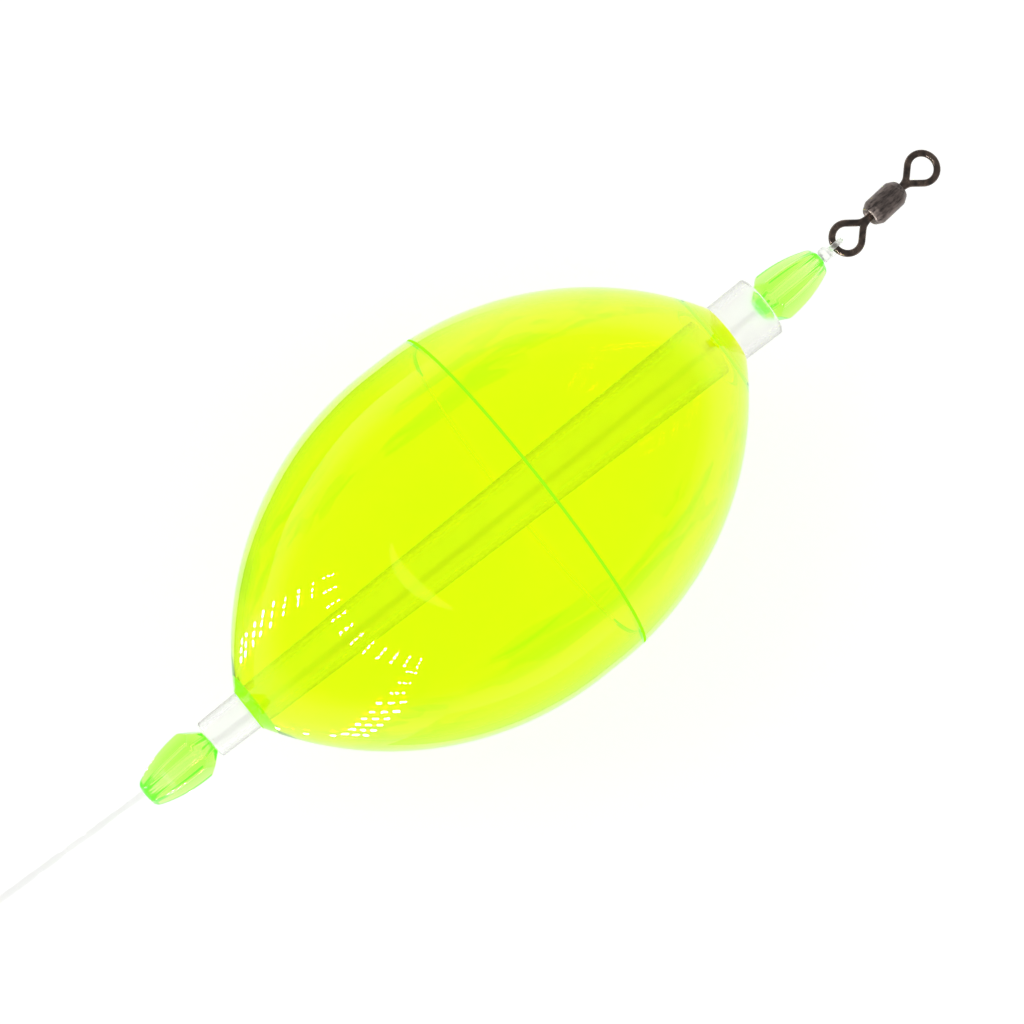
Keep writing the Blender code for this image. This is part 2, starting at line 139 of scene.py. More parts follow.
def rounded(corners, guard=0.0):
    """A closed outline from (x, radius, fillet) corners, each corner with its own fillet.

    A guard adds a point that far outside both ends of each fillet, which keeps the shading
    flat there.
    """
    outline = []
    count = len(corners)
    for index, (x, radius, fillet) in enumerate(corners):
        here = Vector((x, radius))
        before = Vector(corners[index - 1][:2]) - here
        after = Vector(corners[(index + 1) % count][:2]) - here
        if fillet <= 0.0:
            outline.append((x, radius))
            continue
        before, after = before.normalized(), after.normalized()
        half = before.angle(after) / 2
        reach = fillet / math.tan(half)
        middle = here + (before + after).normalized() * fillet / math.sin(half)
        start, end = here + before * reach - middle, here + after * reach - middle
        turn = start.angle_signed(end)
        if guard > 0.0:
            outline.append(tuple(here + before * (reach + guard)))
        for step in range(FILLET_STEPS + 1):
            point = start.copy()
            point.rotate(Matrix.Rotation(-turn * step / FILLET_STEPS, 2))
            outline.append(tuple(middle + point))
        if guard > 0.0:
            outline.append(tuple(here + after * (reach + guard)))
    return outline


def tube_vertices(points, radius, sides):
    """Rings of vertices round a list of points, turned as little as possible from ring to ring."""
    rings = []
    normal = None
    for index, point in enumerate(points):
        ahead = points[min(index + 1, len(points) - 1)]
        behind = points[max(index - 1, 0)]
        tangent = (ahead - behind).normalized()
        if normal is None:
            normal = tangent.orthogonal().normalized()
        normal = (normal - tangent * normal.dot(tangent)).normalized()
        binormal = tangent.cross(normal)
        for angle in angles(sides):
            rings.append(point + (normal * math.cos(angle) + binormal * math.sin(angle)) * radius)
    return rings


def strand(name, points, radius, sides):
    """A round strand along open points, with flat closed ends."""
    vertices = tube_vertices(points, radius, sides)
    faces = ring_faces(len(points), sides, False)
    last = (len(points) - 1) * sides
    faces.append(tuple(range(sides)))
    faces.append(tuple(range(last + sides - 1, last - 1, -1)))
    return mesh_object(name, vertices, faces)


def smooth_path(corners, per_span):
    """Points on a smooth curve through a list of points."""
    padded = [2 * corners[0] - corners[1], *corners, 2 * corners[-1] - corners[-2]]
    points = []
    for before, start, end, after in zip(padded, padded[1:], padded[2:], padded[3:]):
        for index in range(per_span):
            t = index / per_span
            bend = 2 * before - 5 * start + 4 * end - after
            twist = 3 * start - before - 3 * end + after
            points.append(start + ((end - before) * t + bend * t**2 + twist * t**3) / 2)
    return points + [corners[-1].copy()]


def joined(name, objects):
    """One object from several."""
    whole = bmesh.new()
    for obj in objects:
        obj.data.transform(obj.matrix_world)
        whole.from_mesh(obj.data)
    mesh = bpy.data.meshes.new(name)
    whole.to_mesh(mesh)
    whole.free()
    for obj in objects:
        bpy.data.objects.remove(obj, do_unlink=True)
    mesh.shade_smooth()
    return new_object(name, mesh)


def melted(name, objects, voxel, smoothing):
    """One closed surface round several overlapping solids, with softened creases between them."""
    obj = joined(name, objects)
    remesh = obj.modifiers.new("melt", "REMESH")
    remesh.mode = "VOXEL"
    remesh.voxel_size = voxel
    remesh.use_smooth_shade = True
    smooth = obj.modifiers.new("soften", "SMOOTH")
    smooth.factor = MELT_SOFTENING
    smooth.iterations = smoothing
    depsgraph = bpy.context.evaluated_depsgraph_get()
    mesh = bpy.data.meshes.new_from_object(obj.evaluated_get(depsgraph))
    bpy.data.objects.remove(obj, do_unlink=True)
    mesh.shade_smooth()
    return new_object(name, mesh)


# ---------------------------------------------------------------- free line and its loop
LINE_RADIUS = 0.34 * MM
LINE_SIDES = 20
TAIL_ROUTE = (
    Vector((-0.03740, -0.00041, 0.02020)),
    Vector((-0.04600, -0.00014, 0.02020)),
    Vector((-0.05400, 0.00011, 0.02020)),
    Vector((-0.06200, 0.00036, 0.02020)),
    Vector((-0.07000, 0.00061, 0.02020)),
)
TAIL_STEPS = 6
STRAND_SIDES = 12  # of the strands that are melted into a knot
LOOP_LENGTH = 13.0 * MM
LOOP_WIDTH = 5.6 * MM
LOOP_BULGE = 1.3  # brings the loop's curve out to its width
LOOP_START = 2.2 * MM  # from the knot's near end
LOOP_STRAND_PLACE = 0.40 * MM  # of each of the two strands, from the knot's middle
LOOP_STEPS = 60
LOOP_WRAPS = 3
LOOP_WRAP_STEPS = 72
LOOP_WRAP_START, LOOP_WRAP_LENGTH = 0.55 * MM, 2.2 * MM
LOOP_WRAP_ACROSS, LOOP_WRAP_UP = 0.60 * MM, 0.52 * MM
LOOP_ENTRY = (-0.3, 0.6, 1.5, 2.9)  # x of the line on its way into the knot, in millimetres
LOOP_ENTRY_RADIUS = 0.98 * LINE_RADIUS
LOOP_TAG = ((0.9, 0.35, 0.3), (0.1, 0.62, 0.3), (-0.7, 0.85, 0.3))  # in millimetres
LOOP_TAG_RADIUS = 0.9 * LINE_RADIUS
LOOP_VOXEL, LOOP_SMOOTHING = 0.09 * MM, 3


def loop_frame():
    """At the knot's near end, with local X on along the line and Y across the loop."""
    away = (TAIL_ROUTE[-1] - TAIL_ROUTE[-2]).normalized()
    across = Vector((0.0, 0.0, 1.0)).cross(away).normalized()
    up = away.cross(across)
    matrix = Matrix((away, across, up)).transposed().to_4x4()
    matrix.translation = TAIL_ROUTE[-1]
    return matrix


def make_end_loop():
    """A loop knot: three wraps round two strands, and the loop that they make."""
    place = loop_frame()
    bight = []
    for index in range(LOOP_STEPS + 1):
        turn = 2 * math.pi * index / LOOP_STEPS
        reach = LOOP_LENGTH * (1 - math.cos(turn)) / 2
        bulge = LOOP_WIDTH / 2 * LOOP_BULGE * math.sin(turn) * math.sin(turn / 2)
        sideways = LOOP_STRAND_PLACE * math.cos(turn / 2) + bulge
        bight.append(place @ Vector((LOOP_START + reach, sideways, 0.0)))
    wraps = []
    for index in range(LOOP_WRAP_STEPS + 1):
        turn = LOOP_WRAPS * 2 * math.pi * index / LOOP_WRAP_STEPS
        wraps.append(place @ Vector((
            LOOP_WRAP_START + LOOP_WRAP_LENGTH * index / LOOP_WRAP_STEPS,
            LOOP_WRAP_ACROSS * math.cos(turn),
            LOOP_WRAP_UP * math.sin(turn),
        )))
    entry = [place @ in_mm(x) for x in LOOP_ENTRY]
    tag = [place @ in_mm(*point) for point in LOOP_TAG]
    pieces = [
        strand("bight", bight, LINE_RADIUS, STRAND_SIDES),
        strand("wraps", wraps, LINE_RADIUS, STRAND_SIDES),
        strand("entry", entry, LOOP_ENTRY_RADIUS, STRAND_SIDES),
        strand("tag", tag, LOOP_TAG_RADIUS, STRAND_SIDES),
    ]
    return melted("line_end_loop", pieces, LOOP_VOXEL, LOOP_SMOOTHING)


def make_tail():
    points = smooth_path(list(TAIL_ROUTE), TAIL_STEPS)
    return strand("line_free_end", points, LINE_RADIUS, LINE_SIDES), points


end_loop = make_end_loop()
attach(end_loop, "line")
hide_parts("end_loop")
tail, tail_path = make_tail()
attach(tail, "line")
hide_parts("line_tail")

# ---------------------------------------------------------------- shell
BELLY_RADIUS = 20.3 * MM
BELLY_ARC = 36.0 * MM  # radius of the arcs that the outline follows
ARC_START = 1.2 * MM  # from the shell's middle, where the arcs begin
SEAM_X = 4.4 * MM
SEAM_GAP = 0.02 * MM
WALL = 1.3 * MM
SEAM_FILLET = 0.12 * MM
INNER_FILLET = 0.05 * MM
COLLAR_FILLET = 0.2 * MM
SHELL_GUARD = 0.03 * MM
TAIL_END_X, TAIL_HOLE, TAIL_DEPTH, TAIL_COLLAR = -32.3 * MM, 2.37 * MM, 1.6 * MM, 3.3 * MM
HEAD_END_X, HEAD_HOLE, HEAD_DEPTH, HEAD_COLLAR = 31.5 * MM, 3.51 * MM, 2.7 * MM, 4.5 * MM
# Fillets of each end: round the outside, and at the hole's outer and inner edges
TAIL_FILLETS = (0.22 * MM, 0.16 * MM, 0.3 * MM)
HEAD_FILLETS = (0.12 * MM, 0.1 * MM, 0.3 * MM)
SHELL_SIDES = 160
OUTLINE_STEPS = 56
GREEN_EDGE, YELLOW_EDGE = 1, 2  # the shell's material slots for its glowing edges
SEAM_GLOW = 0.18 * MM  # half the width of the band of cut edge that glows at the seam
SEAM_GLOW_DEPTH = 8.0 * MM  # the seam glows green down to this far below the float's axis
COLLAR_GLOW = 0.05 * MM  # how far the collar's glow reaches past its inner face
COLLAR_FACING = 0.25  # faces that point outwards more than this belong to the outside


def outline_radius(x, inset=0.0):
    run = max(0.0, abs(x) - ARC_START)
    return BELLY_RADIUS - BELLY_ARC + math.sqrt((BELLY_ARC - inset) ** 2 - run**2)


def shell_outline(start, end, inset=0.0):
    """(x, radius, 0) corners along the shell's outline, or along a surface inset from it."""
    xs = [start + (end - start) * n / OUTLINE_STEPS for n in range(OUTLINE_STEPS + 1)]
    return [(x, outline_radius(x, inset), 0.0) for x in xs]


def wall_meets(radius):
    """x where the wall's inner surface has come down to a radius."""
    drop = radius - BELLY_RADIUS + BELLY_ARC
    return ARC_START + math.sqrt((BELLY_ARC - WALL) ** 2 - drop**2)


def float_axis():
    return Matrix.Translation((0.0, 0.0, AXIS_Z))


def with_fillet(corner, fillet):
    return (corner[0], corner[1], fillet)


def shell_half(name, corners, collar_x, collar_slot):
    """One half of the shell, with its seam and the faces round its hole in slots of their own."""
    obj = revolve(name, rounded(corners, SHELL_GUARD), SHELL_SIDES, float_axis())
    for polygon in obj.data.polygons:
        x, y, z = polygon.center
        outwards = Vector((0.0, y, z - AXIS_Z)).normalized().dot(polygon.normal)
        if abs(x - SEAM_X) < SEAM_GLOW:
            polygon.material_index = GREEN_EDGE if z > AXIS_Z - SEAM_GLOW_DEPTH else YELLOW_EDGE
        if abs(x) > abs(collar_x) - COLLAR_GLOW and outwards < COLLAR_FACING:
            polygon.material_index = collar_slot
    return obj


def make_shell_body():
    """The larger half, from the seam to the collar round the tube's thin end."""
    rim, collar_x = SEAM_X - SEAM_GAP / 2, TAIL_END_X + TAIL_DEPTH
    outside, hole_outer, hole_inner = TAIL_FILLETS
    outer = shell_outline(rim, TAIL_END_X)
    outer[0] = with_fillet(outer[0], SEAM_FILLET)
    outer[-1] = with_fillet(outer[-1], outside)
    hole = [(TAIL_END_X, TAIL_HOLE, hole_outer), (collar_x, TAIL_HOLE, hole_inner)]
    inner = shell_outline(-wall_meets(TAIL_COLLAR), rim, WALL)
    inner[0] = (collar_x, TAIL_COLLAR, COLLAR_FILLET)
    inner[-1] = with_fillet(inner[-1], INNER_FILLET)
    return shell_half("shell_body_moulding", outer + hole + inner, collar_x, GREEN_EDGE)


def make_shell_cap():
    """The smaller half, from the seam to the collar round the tube's wide end."""
    rim, collar_x = SEAM_X + SEAM_GAP / 2, HEAD_END_X - HEAD_DEPTH
    outside, hole_outer, hole_inner = HEAD_FILLETS
    outer = shell_outline(HEAD_END_X, rim)
    outer[0] = with_fillet(outer[0], outside)
    outer[-1] = with_fillet(outer[-1], SEAM_FILLET)
    inner = shell_outline(rim, wall_meets(HEAD_COLLAR), WALL)
    inner[0] = with_fillet(inner[0], INNER_FILLET)
    inner[-1] = (collar_x, HEAD_COLLAR, COLLAR_FILLET)
    hole = [(collar_x, HEAD_HOLE, hole_inner), (HEAD_END_X, HEAD_HOLE, hole_outer)]
    return shell_half("shell_cap_moulding", outer + inner + hole, collar_x, YELLOW_EDGE)


# ---------------------------------------------------------------- peg tube
TUBE_TAIL_X = -37.35 * MM
TUBE_HEAD_X = 36.6 * MM
TUBE_TAIL_RADIUS = 2.185 * MM
TUBE_HEAD_RADIUS = 3.536 * MM
TUBE_WALL = 0.8 * MM
TUBE_FILLET = 0.26 * MM
TUBE_GUARD = 0.02 * MM
TUBE_SIDES = 96


def make_tube():
    corners = [
        (TUBE_HEAD_X, TUBE_HEAD_RADIUS, TUBE_FILLET),
        (TUBE_TAIL_X, TUBE_TAIL_RADIUS, TUBE_FILLET),
        (TUBE_TAIL_X, TUBE_TAIL_RADIUS - TUBE_WALL, TUBE_FILLET),
        (TUBE_HEAD_X, TUBE_HEAD_RADIUS - TUBE_WALL, TUBE_FILLET),
    ]
    return revolve("peg_tube_moulding", rounded(corners, TUBE_GUARD), TUBE_SIDES, float_axis())


# ---------------------------------------------------------------- beads
TAIL_BEAD_MOUTH = Vector((-37.42 * MM, -0.10 * MM, AXIS_Z))
TAIL_BEAD_YAW, TAIL_BEAD_ROLL = math.radians(182.8), math.radians(-6.0)
HEAD_BEAD_MOUTH = Vector((35.97 * MM, -0.12 * MM, AXIS_Z))
HEAD_BEAD_YAW, HEAD_BEAD_ROLL = math.radians(1.5), math.radians(-5.0)
BEAD_LENGTH = 8.6 * MM
BEAD_GIRDLE_Z, BEAD_GIRDLE = 1.6 * MM, 2.9 * MM
BEAD_SWELL = 2.3  # how full the long facets stay towards the tip
BEAD_TIP = 1.42 * MM
BEAD_MOUTH = 1.45 * MM
BEAD_HOLE = 0.76 * MM
BEAD_HOLE_BEVEL = 0.1 * MM
BEAD_FACETS = 6
BEAD_SIDES = 240
BEAD_RINGS = 84
FACET_SOFTNESS = 0.05 * MM  # of the blend where two facets meet
FACET_FACING = 0.3  # facets that face a point less than this are too far round to count
BEAD_RIM = 0.14 * MM
BEAD_TIP_ROUNDING = 0.55 * MM
# Where the rings of the two roundings lie, in millimetres from the mouth and from the tip
BEAD_RIM_RINGS = (0.0, 0.02, 0.06, 0.1)
BEAD_TIP_RINGS = (0.46, 0.37, 0.29, 0.22, 0.16, 0.11, 0.07, 0.035, 0.01, 0.0)


def bead_radius(angle, z):
    """Distance of the bead's surface from its axis: the nearest facet, with softened edges."""
    step = 2 * math.pi / BEAD_FACETS
    flat = math.cos(step / 2)
    share = max(0.0, (z - BEAD_GIRDLE_Z) / (BEAD_LENGTH - BEAD_GIRDLE_Z))
    side = (BEAD_GIRDLE - (BEAD_GIRDLE - BEAD_TIP) * share**BEAD_SWELL) * flat
    end = (BEAD_MOUTH + (BEAD_GIRDLE - BEAD_MOUTH) * z / BEAD_GIRDLE_Z) * flat
    total = 0.0
    for index in range(BEAD_FACETS):
        for distance, turn in ((side, step / 2), (end, 0.0)):
            slope = math.cos(angle - index * step - turn)
            if slope > FACET_FACING:
                total += math.exp(-distance / slope / FACET_SOFTNESS)
    return -math.log(total) * FACET_SOFTNESS


def make_bead(name, mouth, yaw, roll):
    """A faceted drop with a through hole; its local X runs from the mouth to the tip."""
    place = Matrix.Translation(mouth) @ Matrix.Rotation(yaw, 4, "Z") @ Matrix.Rotation(roll, 4, "X")
    start, end = BEAD_RIM, BEAD_LENGTH - BEAD_TIP_ROUNDING
    heights = [h * MM for h in BEAD_RIM_RINGS]
    heights += [start + (end - start) * n / BEAD_RINGS for n in range(BEAD_RINGS + 1)]
    heights += [BEAD_LENGTH - h * MM for h in BEAD_TIP_RINGS]
    vertices = []
    for z in heights:
        rim, gap = (BEAD_RIM, z) if z < BEAD_LENGTH / 2 else (BEAD_TIP_ROUNDING, BEAD_LENGTH - z)
        near = rim - min(gap, rim)
        worn = rim - math.sqrt(rim**2 - near**2)
        for angle in angles(BEAD_SIDES):
            vertices.append(place @ polar(z, bead_radius(angle, z) - worn, angle))
    bore = (
        (BEAD_LENGTH, BEAD_HOLE + BEAD_HOLE_BEVEL),
        (BEAD_LENGTH - BEAD_HOLE_BEVEL, BEAD_HOLE),
        (BEAD_HOLE_BEVEL, BEAD_HOLE),
        (0.0, BEAD_HOLE + BEAD_HOLE_BEVEL),
    )
    for z, radius in bore:
        for angle in angles(BEAD_SIDES):
            vertices.append(place @ polar(z, radius, angle))
    count = len(heights) + len(bore)
    return mesh_object(name, vertices, ring_faces(count, BEAD_SIDES, True))


# ---------------------------------------------------------------- swivel
SWIVEL_YAW = math.radians(4.6)
SWIVEL_DROOP = math.radians(8.0)
LINE_EYE_CENTRE = Vector((48.35 * MM, 0.05 * MM, AXIS_Z - 0.25 * MM))
EYE_TO_MIDDLE = 5.85 * MM
RING_RADIUS = 1.65 * MM
RING_DEGREES = range(52, 309, 8)  # the wire's way round the eye, from neck to neck
WIRE_RADIUS = 0.39 * MM
WIRE_SIDES, WIRE_STEPS = 20, 3
# Places from the eye's centre towards the barrel, in millimetres
NECK = ((1.55, 0.86), (1.98, 0.50), (2.35, 0.26), (2.80, 0.12), (3.2, 0.07))
SHANK = (2.5, 3.2, 3.8, 4.35)
SHANK_HEAD = (4.25, 4.5, 4.75)
SHANK_RADIUS = 0.415 * MM
SHANK_HEAD_RADIUS = 0.82 * MM
SHANK_SIDES = 24
EYE_VOXEL, EYE_SMOOTHING = 0.05 * MM, 4
BARREL_HALF = 2.35 * MM
BARREL_RADIUS = 1.5 * MM
BARREL_CHAMBER = 1.08 * MM
BARREL_THROAT = 0.52 * MM
# Half the barrel's corners: distance from its end, radius and fillet
BARREL_CORNERS = (
    (0.82 * MM, BARREL_RADIUS, 0.5 * MM),
    (0.12 * MM, 1.12 * MM, 0.16 * MM),
    (0.0, 0.99 * MM, 0.05 * MM),
    (0.06 * MM, 0.85 * MM, 0.05 * MM),
    (0.42 * MM, BARREL_THROAT, 0.06 * MM),
    (0.62 * MM, BARREL_THROAT, 0.05 * MM),
    (0.66 * MM, BARREL_CHAMBER, 0.1 * MM),
)
BARREL_SIDES = 72


def swivel_frame():
    """At the barrel's middle, with local X on towards the free eye."""
    turn = Matrix.Rotation(SWIVEL_YAW, 4, "Z") @ Matrix.Rotation(SWIVEL_DROOP, 4, "Y")
    line_eye_frame = Matrix.Translation(LINE_EYE_CENTRE) @ turn
    return line_eye_frame @ Matrix.Translation((EYE_TO_MIDDLE, 0.0, 0.0))


def make_eye(name, towards_free_end):
    """A wire bent to a round eye whose two ends close side by side on the shank."""
    side = Matrix.Rotation(math.pi, 4, "Z") if towards_free_end else Matrix()
    place = swivel_frame() @ side @ Matrix.Translation((-EYE_TO_MIDDLE, 0.0, 0.0))
    upper = [in_mm(x, y) for x, y in reversed(NECK)]
    ring = []
    for degrees in RING_DEGREES:
        angle = math.radians(degrees)
        ring.append(Vector((math.cos(angle), math.sin(angle), 0.0)) * RING_RADIUS)
    lower = [in_mm(x, -y) for x, y in NECK]
    path = smooth_path([place @ point for point in upper + ring + lower], WIRE_STEPS)
    shank = [place @ in_mm(x) for x in SHANK]
    head = [place @ in_mm(x) for x in SHANK_HEAD]
    pieces = [
        strand(name + "_wire", path, WIRE_RADIUS, WIRE_SIDES),
        strand(name + "_shank", shank, SHANK_RADIUS, SHANK_SIDES),
        strand(name + "_head", head, SHANK_HEAD_RADIUS, SHANK_SIDES),
    ]
    return melted(name, pieces, EYE_VOXEL, EYE_SMOOTHING)


def make_barrel():
    """A barrel with a chamber for both shanks' heads and a countersunk mouth at each end."""
    half = [(BARREL_HALF - depth, radius, fillet) for depth, radius, fillet in BARREL_CORNERS]
    mirrored = [(-x, radius, fillet) for x, radius, fillet in reversed(half)]
    corners = [(0.0, BARREL_RADIUS, 0.0), *half, (0.0, BARREL_CHAMBER, 0.0), *mirrored]
    return revolve("swivel_barrel_body", rounded(corners), BARREL_SIDES, swivel_frame())


# ---------------------------------------------------------------- line through the float, knot
MAIN_ROUTE = (  # in millimetres, from the shell's middle
    (-37.35, -0.415, 0.0),
    (-33.00, -0.52, 0.0),
    (-25.00, -0.60, -0.1),
    (-12.00, -0.60, -0.3),
    (4.00, -0.50, -0.4),
    (20.00, -0.36, -0.3),
    (30.00, -0.24, -0.1),
    (36.00, -0.12, 0.0),
    (42.00, -0.02, 0.0),
    (44.95, 0.12, 0.0),
)
MAIN_STEPS = 8
HOLD_ANGLE = math.radians(165.0)  # round the line-side eye, where the line's turn holds it
TURN_RADIUS = 0.86 * MM
TURN_LEAN = 0.16 * MM  # of the turn, along the eye's wire
TURN_STEPS = 40
KNOT_START = Vector((44.85 * MM, 0.12 * MM, AXIS_Z))
KNOT_WRAPS = 2.6
KNOT_WRAP_STEPS = 60
KNOT_WRAP_START, KNOT_WRAP_LENGTH = 0.05 * MM, 0.95 * MM
KNOT_WRAP_RADIUS = 0.47 * MM
KNOT_STRAND_RADIUS = 0.30 * MM
KNOT_CORE = (-0.1, 0.4, 0.9, 1.2)  # x of the line inside its wraps, in millimetres
KNOT_TAG = ((0.7, -0.3, 0.35), (1.2, -0.72, 0.55), (1.75, -1.05, 0.62))  # in millimetres
KNOT_TAG_RADIUS = 0.26 * MM
KNOT_VOXEL, KNOT_SMOOTHING = 0.055 * MM, 2


def hold_point():
    """Middle of the eye's wire where the line's turn holds it, and the wire's direction there."""
    place = swivel_frame() @ Matrix.Translation((-EYE_TO_MIDDLE, 0.0, 0.0))
    out = Vector((math.cos(HOLD_ANGLE), math.sin(HOLD_ANGLE), 0.0))
    along = Vector((-math.sin(HOLD_ANGLE), math.cos(HOLD_ANGLE), 0.0))
    return place @ (out * RING_RADIUS), place.to_3x3() @ along


def make_main_line():
    points = [Vector((x * MM, y * MM, AXIS_Z + z * MM)) for x, y, z in MAIN_ROUTE]
    return strand("line_in_tube", smooth_path(points, MAIN_STEPS), LINE_RADIUS, LINE_SIDES)


def make_knot():
    """Wraps round the line, the turn through the swivel's eye, and a short cut tag."""
    centre, wire = hold_point()
    towards = (centre - KNOT_START).normalized()
    across = wire.cross(towards).normalized()
    knot = Matrix((towards, across, towards.cross(across))).transposed().to_4x4()
    knot.translation = KNOT_START
    wraps = []
    for index in range(KNOT_WRAP_STEPS + 1):
        angle = KNOT_WRAPS * 2 * math.pi * index / KNOT_WRAP_STEPS
        along = KNOT_WRAP_START + KNOT_WRAP_LENGTH * index / KNOT_WRAP_STEPS
        wraps.append(knot @ polar(along, KNOT_WRAP_RADIUS, angle))
    turn = []
    for index in range(TURN_STEPS + 1):
        angle = 2 * math.pi * index / TURN_STEPS
        out = -towards * math.cos(angle) + across * math.sin(angle)
        turn.append(centre + out * TURN_RADIUS + wire * (TURN_LEAN * math.sin(angle / 2)))
    core = [knot @ in_mm(x) for x in KNOT_CORE]
    tag = [knot @ in_mm(*point) for point in KNOT_TAG]
    pieces = [
        strand("wraps", wraps, KNOT_STRAND_RADIUS, STRAND_SIDES),
        strand("turn", turn, KNOT_STRAND_RADIUS, STRAND_SIDES),
        strand("core", core, LINE_RADIUS, STRAND_SIDES),
        strand("tag", tag, KNOT_TAG_RADIUS, STRAND_SIDES),
    ]
    return melted("line_knot", pieces, KNOT_VOXEL, KNOT_SMOOTHING)


# ---------------------------------------------------------------- materials
WHITE = (1.0, 1.0, 1.0)
EVENLY = (1.0, 1.0, 1.0)  # a noise's scale along X, Y and Z
# Painted shade: darker streaks in the shell's colour along both of its flanks
STREAK_TILT = 0.70  # sideways part of the surface's direction where the streaks are strongest
STREAK_SPREAD = 0.16
STREAK_SCALE, STREAK_DETAIL = 330.0, 1.0
STREAK_STRETCH = (0.16, 1.0, 1.0)
STREAK_RANGE = (0.52, 0.575)  # of the noise, from no streak to a full one
PAINTED_SHADE_COLOUR = (0.80, 0.92, 0.80)
PLATING_WEAR = (0.36, 0.64)  # of the noise, from unworn to fully worn plating
# Painted light: a faint glow on the plating
PLATING_PAINTED_GLOW = 0.015  # the room's light, which the dim world leaves out
PLATING_PAINTED_GLOW_COLOUR = (1.0, 0.80, 0.73)
EDGE_BASE = 0.15  # an edge's own colour, as a share of its glow's
EDGE_ROUGH = (0.15, 0.3)
EDGE_GRAIN = (300.0, 2.0)


def node(tree, kind, **inputs):
    made = tree.nodes.new(kind)
    for name, value in inputs.items():
        made.inputs[name.replace("_", " ")].default_value = value
    return made


def ranged(tree, value, low, high, start=0.0, end=1.0, soft=False):
    """Brings a value that lies from start to end into a range, with soft ends if asked."""
    spread = tree.nodes.new("ShaderNodeMapRange")
    if soft:
        spread.interpolation_type = "SMOOTHSTEP"
    spread.inputs["From Min"].default_value = start
    spread.inputs["From Max"].default_value = end
    spread.inputs["To Min"].default_value = low
    spread.inputs["To Max"].default_value = high
    tree.links.new(value, spread.inputs["Value"])
    return spread.outputs["Result"]


def maths(tree, operation, value, other=0.0):
    """A calculation on one or two values, of which the second may be a plain number."""
    made = tree.nodes.new("ShaderNodeMath")
    made.operation = operation
    tree.links.new(value, made.inputs[0])
    if isinstance(other, float):
        made.inputs[1].default_value = other
    else:
        tree.links.new(other, made.inputs[1])
    return made.outputs["Value"]


def mixed(tree, first, second, factor):
    """A colour from the first to the second, as the factor says."""
    mix = tree.nodes.new("ShaderNodeMix")
    mix.data_type = "RGBA"
    mix.inputs["A"].default_value = (*first, 1.0)
    mix.inputs["B"].default_value = (*second, 1.0)
    tree.links.new(factor, mix.inputs["Factor"])
    return mix.outputs["Result"]


def noise(tree, scale, detail, stretch=EVENLY):
    place = tree.nodes.new("ShaderNodeTexCoord")
    mapping = tree.nodes.new("ShaderNodeMapping")
    mapping.inputs["Scale"].default_value = stretch
    texture = node(tree, "ShaderNodeTexNoise", Scale=scale, Detail=detail)
    tree.links.new(place.outputs["Object"], mapping.inputs["Vector"])
    tree.links.new(mapping.outputs["Vector"], texture.inputs["Vector"])
    return texture.outputs["Fac"]


def base_material(name):
    material = bpy.data.materials.new(name)
    material.use_nodes = True
    tree = material.node_tree
    return material, tree, tree.nodes["Principled BSDF"], tree.nodes["Material Output"]


def set_glow(shader, colour, strength):
    shader.inputs["Emission Color"].default_value = (*colour, 1.0)
    shader.inputs["Emission Strength"].default_value = strength


def add_bump(tree, shader, height, strength, distance):
    bump = node(tree, "ShaderNodeBump", Strength=strength, Distance=distance)
    tree.links.new(height, bump.inputs["Height"])
    tree.links.new(bump.outputs["Normal"], shader.inputs["Normal"])


def clear_plastic(
    name, tint, ior, rough, absorb, density, glow, glow_strength, grain, bump, mirror=WHITE
):
    """A clear moulding: tinted in its depth, with slight flow marks in its surface.

    grain is its noise's scale, detail and stretch, bump the strength and distance of the marks
    that the noise makes, and mirror tints what it mirrors.
    """
    material, tree, shader, output = base_material(name)
    shader.inputs["Base Color"].default_value = (*tint, 1.0)
    shader.inputs["Transmission Weight"].default_value = 1.0
    shader.inputs["IOR"].default_value = ior
    shader.inputs["Specular Tint"].default_value = (*mirror, 1.0)
    set_glow(shader, glow, glow_strength)
    texture = noise(tree, *grain)
    tree.links.new(ranged(tree, texture, *rough), shader.inputs["Roughness"])
    add_bump(tree, shader, texture, *bump)
    depth = tree.nodes.new("ShaderNodeVolumeAbsorption")
    depth.inputs["Color"].default_value = (*absorb, 1.0)
    depth.inputs["Density"].default_value = density
    tree.links.new(depth.outputs["Volume"], output.inputs["Volume"])
    return material


def add_painted_shade_streaks(material):
    """Painted shade: long faint darker streaks in the shell's colour along both of its flanks."""
    tree = material.node_tree
    place = tree.nodes.new("ShaderNodeTexCoord")
    parts = tree.nodes.new("ShaderNodeSeparateXYZ")
    tree.links.new(place.outputs["Normal"], parts.inputs["Vector"])
    sideways = maths(tree, "ABSOLUTE", parts.outputs["Y"])
    off_flank = maths(tree, "ABSOLUTE", maths(tree, "SUBTRACT", sideways, STREAK_TILT))
    flank = ranged(tree, off_flank, 0.0, 1.0, STREAK_SPREAD, 0.0, soft=True)
    texture = noise(tree, STREAK_SCALE, STREAK_DETAIL, STREAK_STRETCH)
    streak = ranged(tree, texture, 0.0, 1.0, *STREAK_RANGE, soft=True)
    colour = mixed(tree, WHITE, PAINTED_SHADE_COLOUR, maths(tree, "MULTIPLY", flank, streak))
    tree.links.new(colour, tree.nodes["Principled BSDF"].inputs["Base Color"])


def plated(name, colour, warm, rough, grain, bump):
    """Dark plating with slightly warmer worn patches, and a faint painted glow in place of room
    light.
    """
    material, tree, shader, _ = base_material(name)
    texture = noise(tree, *grain)
    wear = ranged(tree, texture, 0.0, 1.0, *PLATING_WEAR)
    tree.links.new(mixed(tree, colour, warm, wear), shader.inputs["Base Color"])
    roughness = ranged(tree, texture, *rough, *PLATING_WEAR)
    tree.links.new(roughness, shader.inputs["Roughness"])
    shader.inputs["Metallic"].default_value = 1.0
    # painted light: a faint glow over all of the plating
    set_glow(shader, PLATING_PAINTED_GLOW_COLOUR, PLATING_PAINTED_GLOW)
    add_bump(tree, shader, texture, *bump)
    return material


